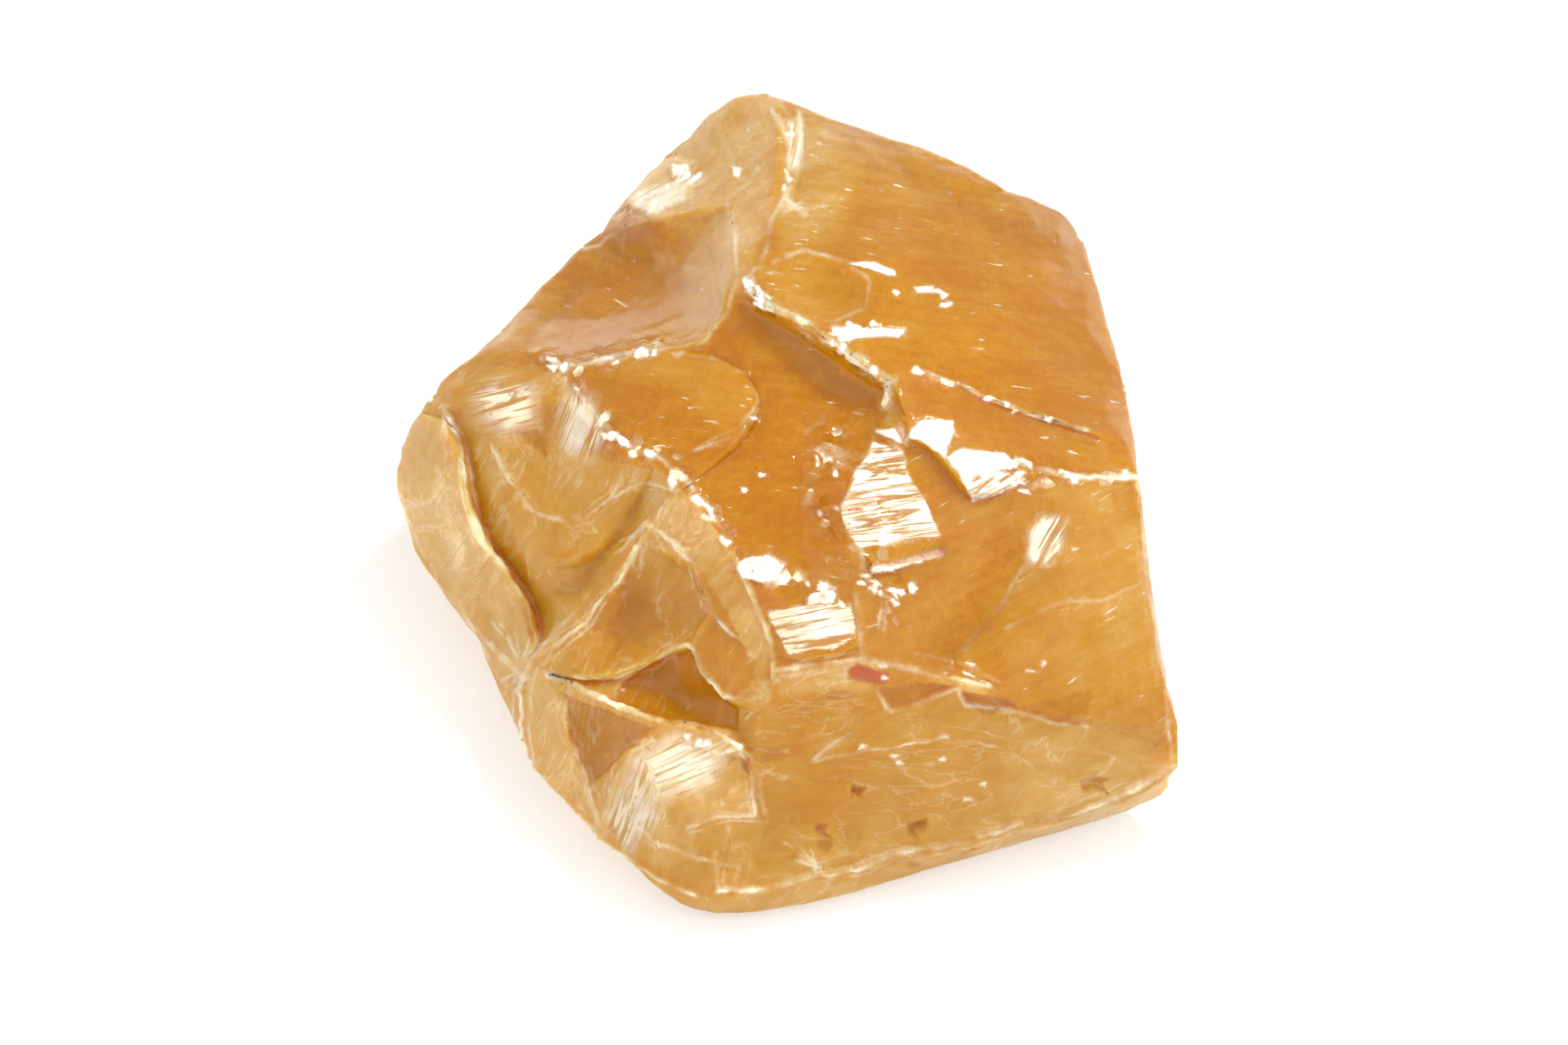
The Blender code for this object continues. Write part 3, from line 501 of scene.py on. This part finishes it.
for many, size, scatter, angle, row in GLINTS:
    for _ in range(many):
        place = chance.random() * (len(row) - 1)
        part = place - int(place)
        (ax, ay), (bx, by) = row[int(place)], row[int(place) + 1]
        x = ax + (bx - ax) * part + chance.uniform(-scatter, scatter)
        y = ay + (by - ay) * part + chance.uniform(-scatter, scatter)
        long, short = size * chance.uniform(0.3, 1.5), size * chance.uniform(0.15, 0.7)
        lean = math.radians(angle + chance.uniform(-25, 25))
        corners = []
        for corner in range(GLINT_CORNERS):
            way = math.tau * (corner + chance.uniform(-0.3, 0.3)) / GLINT_CORNERS
            bulge = chance.uniform(0.35, 1.0)
            u, v = long * bulge * math.cos(way), short * bulge * math.sin(way)
            corners.append((x + u * math.cos(lean) - v * math.sin(lean),
                            y + u * math.sin(lean) + v * math.cos(lean)))
        FLAKES.append(corners)

crisp = [(line, False) for _, _, _, line in drawn]
crisp += [(outline, True) for outline in FLAKES + RUST]
crisp += [(outline, True) for _, soft, outline in STRIPED_HIGHLIGHTS if soft < CRISP]
crisp += [(outline, True) for outline, _, border, _ in PATCHES if border < CRISP]

bpy.ops.object.select_all(action="DESELECT")
solid = bpy.data.objects["raw_amber"]
lump = bpy.data.objects.new("amber_lump", solid.data.copy())
scene.collection.objects.link(lump)
bpy.context.view_layer.objects.active = lump
lump.select_set(True)
mesh = lump.data
bpy.ops.object.mode_set(mode="EDIT")
bpy.ops.mesh.select_all(action="SELECT")
bpy.ops.mesh.remove_doubles(threshold=1e-6)
for cut in range(CUTS):
    cage = bmesh.from_edit_mesh(mesh)
    long = [e for e in cage.edges if e.calc_length() > CRACK_EDGE]
    middles = pixels(np.array([(e.verts[0].co + e.verts[1].co) / 2 for e in long]))
    nearest = np.full(len(long), FAR_OFF)
    for line, closed in crisp:
        nearest = np.minimum(nearest, foot(line, closed, middles)[0])
    for width, row in SPLINTERS:
        nearest = np.minimum(nearest, foot(row, False, middles)[0] * 6 / width)
    for edge, close in zip(long, nearest):
        shown = (edge.verts[0].normal + edge.verts[1].normal).dot(view_back) > -0.1
        limit = min(FINE_EDGE, CRACK_EDGE + max(close - 1, 0) * PIXEL) if shown else HIDDEN_EDGE
        edge.select_set(edge.calc_length() > limit)
    bmesh.update_edit_mesh(mesh)
    bpy.ops.mesh.subdivide(number_cuts=1)
    bpy.ops.mesh.select_all(action="SELECT")
    bpy.ops.mesh.quads_convert_to_tris()
    bpy.ops.mesh.select_all(action="DESELECT")
bpy.ops.object.mode_set(mode="OBJECT")

places = read(mesh.vertices, "co", 3)
normals = read(mesh.vertices, "normal", 3)
sight = np.array(view_back)
facing = normals @ sight > SHOWN_SLOPE
bent = wobbled(pixels(places))

# Vertices next to a line or an outline move onto it along the surface, which keeps both sharp.
nearest = np.where(facing, FAR_OFF, 0)
way = np.zeros((len(places), 2))
for line, closed in crisp:
    away, step = foot(line, closed, bent)
    nearer = away < nearest
    nearest[nearer] = away[nearer]
    way[nearer] = step[nearer]
ends = read(mesh.edges, "vertices", 2, np.int32).astype(int)
lengths = np.linalg.norm(places[ends[:, 0]] - places[ends[:, 1]], axis=1) / PIXEL
room = np.full(len(places), FAR_OFF)
np.minimum.at(room, ends.ravel(), np.repeat(lengths, 2))
snapped = (nearest < np.minimum(SNAP, SNAP_SHARE * room)).astype(float)[:, None]
move = snapped * way * PIXEL
slide = move[:, :1] * np.array(view_right) - move[:, 1:] * np.array(view_up)
slope = (slide * normals).sum(axis=1) / np.maximum(normals @ sight, STEEPEST)
places += slide - slope[:, None] * sight
bent += snapped * way
spots = pixels(places)
count = len(places)

links = np.bincount(ends.ravel(), minlength=count)


def spread(values, times):
    """The values after evening them out along the edges of the mesh a number of times."""
    columns = values.astype(float).reshape(count, -1).T
    for _ in range(times):
        sums = [np.bincount(ends[:, 0], column[ends[:, 1]], count)
                + np.bincount(ends[:, 1], column[ends[:, 0]], count) for column in columns]
        columns = 0.5 * columns + 0.5 * np.array(sums) / links
    return columns.T


softer = np.zeros(count)
for outline in SOFTENED:
    softer = np.maximum(softer, ease(-10, 22, np.where(facing, reach(outline, bent), -FAR_OFF)))
places += (spread(places, SOFTENINGS) - places) * softer[:, None]

# Places that turn away from the camera towards the outline are painted paler further down, a painted rim glow.
rim = np.where(normals @ sight > RIM_GLOW_START, 1 - ease(0.0, RIM_GLOW_WIDTH, normals @ sight), 0)

milky, frost, turn, streak_depth, swell_depth, splinter_depth = (np.full(count, float(v)) for v in BACK)
for outline, *values in FACES:
    inside = np.where(facing, reach(outline, bent), -FAR_OFF)
    layers = (milky, frost, streak_depth, swell_depth, splinter_depth)
    for layer, value in zip(layers, values[:2] + values[3:]):
        layer += (value - layer) * ease(-6, 6, inside)
    turn[inside > 0] = values[2]
sunk = np.zeros(count)
for outline, tone, border, drop in PATCHES:
    inside = np.where(facing, reach(outline, bent), -FAR_OFF)
    milky += (tone - milky) * ease(-border / 2, border / 2, inside)
    sunk += drop * ease(-2, 4, inside)
striped = np.zeros(count)
for angle, soft, outline in STRIPED_HIGHLIGHTS:
    inside = np.where(facing, reach(outline, bent), -FAR_OFF)
    striped = np.maximum(striped, ease(-0.8 * soft, 0.4 * soft - 1, inside))
    turn[inside >= -0.8 * soft] = angle
rusty = np.zeros(count)
for outline, strength in zip(RUST, RUST_STRENGTHS):
    rusty = np.maximum(rusty, strength * ease(-2, 4, np.where(facing, reach(outline, bent), -FAR_OFF)))
crest = np.zeros(count)
raised = np.zeros(count)
unevenness = np.array([1.4 * noise.fractal(Vector((x, y, 3)) / 26, 1.0, 2.0, 3) for x, y in bent])
for strength, half, height, line in drawn:
    away = np.where(facing, foot(line, False, bent)[0], FAR_OFF)
    shown = strength * np.clip(1 + unevenness, 0, 1.4) * (1 - ease(0.2 * half, 1.9 * half, away))
    crest = np.maximum(crest, shown)
    raised += height * (1 + unevenness) * (1 - ease(0, 3.0 * half, away))
chips = np.zeros(count)
for width, row in SPLINTERS:
    away = np.where(facing, foot(row, False, bent)[0], FAR_OFF)
    chips = np.maximum(chips, 1 - ease(0.3 * width, 1.3 * width, away))

turn = np.radians(turn)
across = (spots[:, 0] - PICTURE[0] / 2) * PIXEL
upward = (PICTURE[1] / 2 - spots[:, 1]) * PIXEL
grain = np.stack([across * np.cos(turn) + upward * np.sin(turn),
                  upward * np.cos(turn) - across * np.sin(turn), np.zeros(count)], axis=1)

# Each vertex is lifted along its normal: the crests, strands and steps that were drawn, streaks along the
# grain, broad swells, and tilted facets where a break is splintery. It fades out at the foot and at the
# lump's outline.
STREAK_LENGTH = 7 * MM
STREAK_WIDTH = 0.8 * MM
SWELL_SIZE = 2.4 * MM
BREAK_SIZE = 2.6 * MM
SMOOTH_ANGLE = math.radians(30)
GROUND_START = 0.4 * MM
GROUND_END = 3.0 * MM
FACET_TILT = 1.6
FACET_SPREAD = 9.7

lift = raised - sunk
for i in range(count):
    place = Vector(places[i])
    along, over, _ = grain[i]
    lift[i] += streak_depth[i] * noise.noise(Vector((along / STREAK_LENGTH, over / STREAK_WIDTH, 7.0)))
    lift[i] += swell_depth[i] * noise.fractal(place / SWELL_SIZE, 1.0, 2.0, 3)
    for size, height in ((BREAK_SIZE, splinter_depth[i]), (SPLINTER_SIZE, SPLINTER_HEIGHT * chips[i])):
        if height > 0.01:
            middle = noise.voronoi(place / size)[1][0]
            facing_way = noise.noise_vector(middle * FACET_SPREAD)
            lift[i] += height * (place / size - middle).dot(facing_way) * FACET_TILT
grounded = np.clip((places[:, 2] - GROUND_START) / (GROUND_END - GROUND_START), 0, 1)
grounded *= np.where(facing, 0.25 + 0.75 * ease(0.05, 0.40, normals @ sight), 1)
places += normals * (lift * grounded * MM)[:, None]

flash = np.zeros(count)
flat = np.array(flash_normal)
for outline in FLAKES:
    inside = np.where(facing, reach(outline, bent), -FAR_OFF)
    if (inside > 0).any():
        middle = places[inside > 0].mean(axis=0)
        rise = ((middle - places) @ flat) / (sight @ flat)
        places += sight * (rise * ease(-3, 0.5, inside))[:, None]
        flash = np.maximum(flash, ease(-2.5, -0.2, inside))

low, high = (np.array(c) for c in cad_box)
places = np.clip(places, low + 0.02 * MM, high - 0.02 * MM)
places[:, 2] = np.where(places[:, 2] < 0.05 * MM, 0.0, places[:, 2])
mesh.vertices.foreach_set("co", places.astype(np.float32).ravel())
mesh.update()
bpy.ops.object.shade_smooth_by_angle(angle=SMOOTH_ANGLE)

# What the material reads in each place: how milky, frosted, thin, whitish, chipped or hollow it is, and its
# grain. Thinness is used for a painted glow, and hollowness for painted shade.
BROAD_PASSES = 24
DEPTH_PASSES = 8
THIN_GLOW = (2, 14)
HOLLOW_SHADE = (0.02, 0.30)
RAY_START = 0.5 * MM

normals = read(mesh.vertices, "normal", 3)
broad = ((places - spread(places, BROAD_PASSES)) * normals).sum(axis=1) / MM
tree = BVHTree.FromObject(solid, bpy.context.evaluated_depsgraph_get())
depth = np.empty(count)
for i in range(count):
    start = Vector(places[i] - normals[i] * RAY_START)
    hit = tree.ray_cast(start, -Vector(normals[i]))
    depth[i] = hit[3] if hit[3] is not None else 0.0
depth = spread(depth, DEPTH_PASSES)[:, 0] / MM

shades = {
    "milky": milky,
    "frost": frost,
    # thin places are painted paler, a painted glow of light shining through them
    "thin": 1 - ease(*THIN_GLOW, depth),
    "crest": crest,
    "chips": chips,
    "rim": rim,
    # hollows are painted deeper and more saturated in colour, a painted shade
    "hollow": ease(*HOLLOW_SHADE, -broad),
    "flash": flash,
    "striped": striped,
    "rust": rusty,
}
for name, values in shades.items():
    layer = mesh.attributes.new(name, "FLOAT", "POINT")
    layer.data.foreach_set("value", values.astype(np.float32))
layer = mesh.attributes.new("grain", "FLOAT_VECTOR", "POINT")
layer.data.foreach_set("vector", grain.astype(np.float32).ravel())


class Signal:
    """A socket of a material's nodes, in sums that read as they would on paper."""

    tree = None

    def __init__(self, socket):
        self.socket = socket

    @classmethod
    def make(cls, kind, settings, inputs, output=0):
        """Adds a node with its settings, and gives its sockets values or links."""
        made = cls.tree.nodes.new(kind)
        for name, value in settings.items():
            if name == "stops":
                for _ in value[2:]:
                    made.color_ramp.elements.new(1.0)
                for stop, (place, colour) in zip(made.color_ramp.elements, value):
                    stop.position, stop.color = place, colour
            else:
                setattr(made, name, value)
        for name, value in inputs.items():
            if isinstance(value, Signal):
                cls.tree.links.new(value.socket, made.inputs[name])
            else:
                made.inputs[name].default_value = value
        return cls(made.outputs[output])

    def math(self, operation, other):
        return self.make("ShaderNodeMath", {"operation": operation}, {0: self, 1: other})

    def __add__(self, other):
        return self.math("ADD", other)

    def __sub__(self, other):
        return self.math("SUBTRACT", other)

    def __mul__(self, other):
        return self.math("MULTIPLY", other)

    def __rsub__(self, other):
        return self.make("ShaderNodeMath", {"operation": "SUBTRACT"}, {0: other, 1: self})

    __radd__ = __add__
    __rmul__ = __mul__

    def above(self, low, high):
        """0 below low, 1 above high, and smooth between them."""
        return self.make("ShaderNodeMapRange", {"interpolation_type": "SMOOTHSTEP"},
                         {"Value": self, "From Min": low, "From Max": high})

    def clamped(self):
        return self.make("ShaderNodeClamp", {}, {"Value": self})

    def most(self, other):
        return self.math("MAXIMUM", other)

    def mixed(self, first, second):
        """A colour between two, by this value."""
        return self.make("ShaderNodeMix", {"data_type": "RGBA"}, {0: self, 6: first, 7: second}, 2)


def painted(name):
    """A value that the mesh carries in each place."""
    return Signal.make("ShaderNodeAttribute", {"attribute_name": name}, {}, 2)


def vector(operation, first, second):
    """A sum of two vectors."""
    return Signal.make("ShaderNodeVectorMath", {"operation": operation}, {0: first, 1: second})


def cloud(place, scale, detail, roughness=0.5, distortion=0.0):
    """Soft noise of a given scale."""
    return Signal.make("ShaderNodeTexNoise", {}, {"Vector": place, "Scale": scale, "Detail": detail,
                                                  "Roughness": roughness, "Distortion": distortion})


# The stone is two shaders mixed: clear glassy amber, and milky amber that light enters and leaves again.
# The whitish lines, the painted flashes and the rust are all milky. TONES run from the clearest to the
# milkiest.
TONES = [
    (0.00, (0.70, 0.275, 0.002, 1)),
    (0.25, (0.69, 0.320, 0.010, 1)),
    (0.50, (0.67, 0.358, 0.045, 1)),
    (0.80, (0.69, 0.432, 0.140, 1)),
    (1.00, (0.80, 0.590, 0.300, 1)),
]
WHITISH = (0.96, 0.85, 0.62, 1)
RUSTY = (0.50, 0.115, 0.040, 1)
PAINTED_FLASH = (1.0, 0.90, 0.72, 1)
CLEAR_DEEP = (0.96, 0.60, 0.060, 1)
CLEAR_PALE = (0.97, 0.82, 0.42, 1)
ABSORBED = (0.985, 0.88, 0.24, 1)
ABSORPTION = 110.0
AMBER_IOR = 1.54
GLOSS = 0.3
GLOW_DEPTH = 4 * MM
GLOW = (1.0, 0.45, 0.12)
BUMP_STRENGTH = 0.45
BUMP_HEIGHT = 0.14 * MM
SHARD_SCALE = 900
SHARD_TILT = 0.7

amber = bpy.data.materials.new("amber")
amber.use_nodes = True
Signal.tree = amber.node_tree
amber.node_tree.nodes.remove(amber.node_tree.nodes["Principled BSDF"])
end = amber.node_tree.nodes["Material Output"]
where = Signal.make("ShaderNodeTexCoord", {}, {}, 3)
run = Signal.make("ShaderNodeAttribute", {"attribute_name": "grain"}, {}, 1)
milky, frosted, thin, crests = painted("milky"), painted("frost"), painted("thin"), painted("crest")
chips, hollow, flashing, stripe_highlight = painted("chips"), painted("hollow"), painted("flash"), painted("striped")
rust, rim = painted("rust"), painted("rim")
broad_cloud = cloud(where, 60, 3)
mottle = cloud(where, 260, 5, 0.6)
grit = cloud(where, 1500, 4, 0.65)
streaks = cloud(vector("MULTIPLY", run, (150, 1500, 1)), 1.0, 6, 0.62, 0.4)
glint_dashes = cloud(vector("MULTIPLY", run, (500, 2600, 1)), 1.0, 2, 0.5, 0.6)
ripples = cloud(vector("MULTIPLY", run, (130, 1500, 1)), 1.0, 5, 0.62, 1.6)
wisps = cloud(where, 75, 5, 0.5, 0.8)
strands = cloud(vector("MULTIPLY", run, (90, 260, 1)), 1.0, 4, 0.55, 1.5)
shards = Signal.make("ShaderNodeTexVoronoi", {}, {"Vector": where, "Scale": SHARD_SCALE}, 1)
shard_tone = Signal.make("ShaderNodeSeparateColor", {}, {0: shards})

lace = (1 - (strands - 0.5).math("ABSOLUTE", 0.0).above(0.003, 0.018)) * broad_cloud.above(0.40, 0.58)
lace = lace.most((1 - (wisps - 0.5).math("ABSOLUTE", 0.0).above(0.001, 0.010)) * mottle.above(0.42, 0.58))
white = crests * (0.35 + 0.65 * mottle.above(0.36, 0.56))
white = white.most(lace * frosted.above(0.20, 0.50) * 0.26)
# Short white dashes along the grain are painted glints.
white = white.most(glint_dashes.above(0.64, 0.72) * (1 - frosted) * mottle.above(0.48, 0.60))
# Light shards along the splinter rows are painted white glints.
white = white.most(chips * shard_tone.above(0.55, 0.85) * mottle.above(0.45, 0.60))
# How milky each place is, with painted light in it: thin places and the outline paler as painted glow, hollows
# deeper as painted shade.
milk_and_painted_light = (milky + 0.25 * thin + 0.25 * rim + 0.70 * (broad_cloud - 0.5) + 0.50 * (streaks - 0.5)
        + 0.70 * (mottle - 0.5) + 0.60 * (grit - 0.5) - 0.22 * hollow).clamped()
rusted = rust * mottle.above(0.25, 0.50)
colour = Signal.make("ShaderNodeValToRGB", {"stops": TONES}, {0: milk_and_painted_light})
colour = white.clamped().mixed(colour, WHITISH)
colour = rusted.mixed(colour, RUSTY)
# Painted highlights: the flakes, the striped patches and flecks of the crests take the flash colour.
shine = flashing * (0.80 + 0.20 * grit.above(0.42, 0.52))
# The striped patches are painted highlights in stripes along the grain.
shine = shine.most(stripe_highlight * (0.20 + 0.75 * ripples.above(0.40, 0.52)) * mottle.above(0.26, 0.40))
shine = shine.most(crests * mottle.above(0.56, 0.66) * 0.5)
colour = (shine * 0.85).mixed(colour, PAINTED_FLASH)
tint = rusted.mixed(milk_and_painted_light.mixed(CLEAR_DEEP, CLEAR_PALE), RUSTY)
veil = (0.50 + 0.45 * milk_and_painted_light).most(white).most(shine).most(rusted).clamped()
roughness = (0.09 + 0.30 * frosted + 0.25 * grit * frosted + 0.08 * milky).clamped()
relief = 0.25 * streaks + 0.35 * grit + 0.7 * mottle
bumped = Signal.make("ShaderNodeBump", {}, {
    "Strength": BUMP_STRENGTH, "Distance": BUMP_HEIGHT, "Height": relief})
tilt = vector("SUBTRACT", shards, (0.5, 0.5, 0.5))
tilt = Signal.make("ShaderNodeVectorMath", {"operation": "SCALE"}, {0: tilt, 3: chips * SHARD_TILT})
turned = vector("NORMALIZE", vector("ADD", bumped, tilt), (0, 0, 0))
turned = Signal.make("ShaderNodeMix", {"data_type": "VECTOR"},
                     {0: shine * 0.9, 4: turned, 5: flash_normal}, 1)
turned = vector("NORMALIZE", turned, (0, 0, 0))

clear = Signal.make("ShaderNodeBsdfPrincipled", {}, {
    "Base Color": tint, "Roughness": roughness, "Normal": turned, "IOR": AMBER_IOR,
    "Specular IOR Level": GLOSS, "Transmission Weight": 1.0})
cloudy = Signal.make("ShaderNodeBsdfPrincipled", {}, {
    "Base Color": colour, "Roughness": roughness, "Normal": turned, "IOR": AMBER_IOR,
    "Specular IOR Level": GLOSS, "Subsurface Weight": 1.0, "Subsurface Radius": GLOW,
    "Subsurface Scale": GLOW_DEPTH})
stone = Signal.make("ShaderNodeMixShader", {}, {0: veil, 1: clear, 2: cloudy})
Signal.tree.links.new(stone.socket, end.inputs["Surface"])
absorbing = Signal.make("ShaderNodeVolumeAbsorption", {}, {"Color": ABSORBED, "Density": ABSORPTION})
Signal.tree.links.new(absorbing.socket, end.inputs["Volume"])
mesh.materials.clear()
mesh.materials.append(amber)

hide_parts("raw_amber")
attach(lump, "root")

# The table
# A plain white sweep of paper, lit a little from below as on a light table, so that it shows only a soft
# shadow and the lump glows from within.
FLOOR_SIZE = 4.0
FLOOR_GAP = 0.1 * MM
PAPER = (0.66, 0.66, 0.655, 1)
PAPER_ROUGHNESS = 0.7
PAPER_GLOW = (1, 0.985, 0.975, 1)
PAPER_GLOW_STRENGTH = 0.45

bpy.ops.object.select_all(action="DESELECT")
bpy.ops.mesh.primitive_plane_add(size=FLOOR_SIZE, location=(0, 0, -FLOOR_GAP))
floor = bpy.context.object
floor.name = "floor"
paper = bpy.data.materials.new("paper")
paper.use_nodes = True
surface = paper.node_tree.nodes["Principled BSDF"]
surface.inputs["Base Color"].default_value = PAPER
surface.inputs["Roughness"].default_value = PAPER_ROUGHNESS
surface.inputs["Emission Color"].default_value = PAPER_GLOW
surface.inputs["Emission Strength"].default_value = PAPER_GLOW_STRENGTH
floor.data.materials.append(paper)
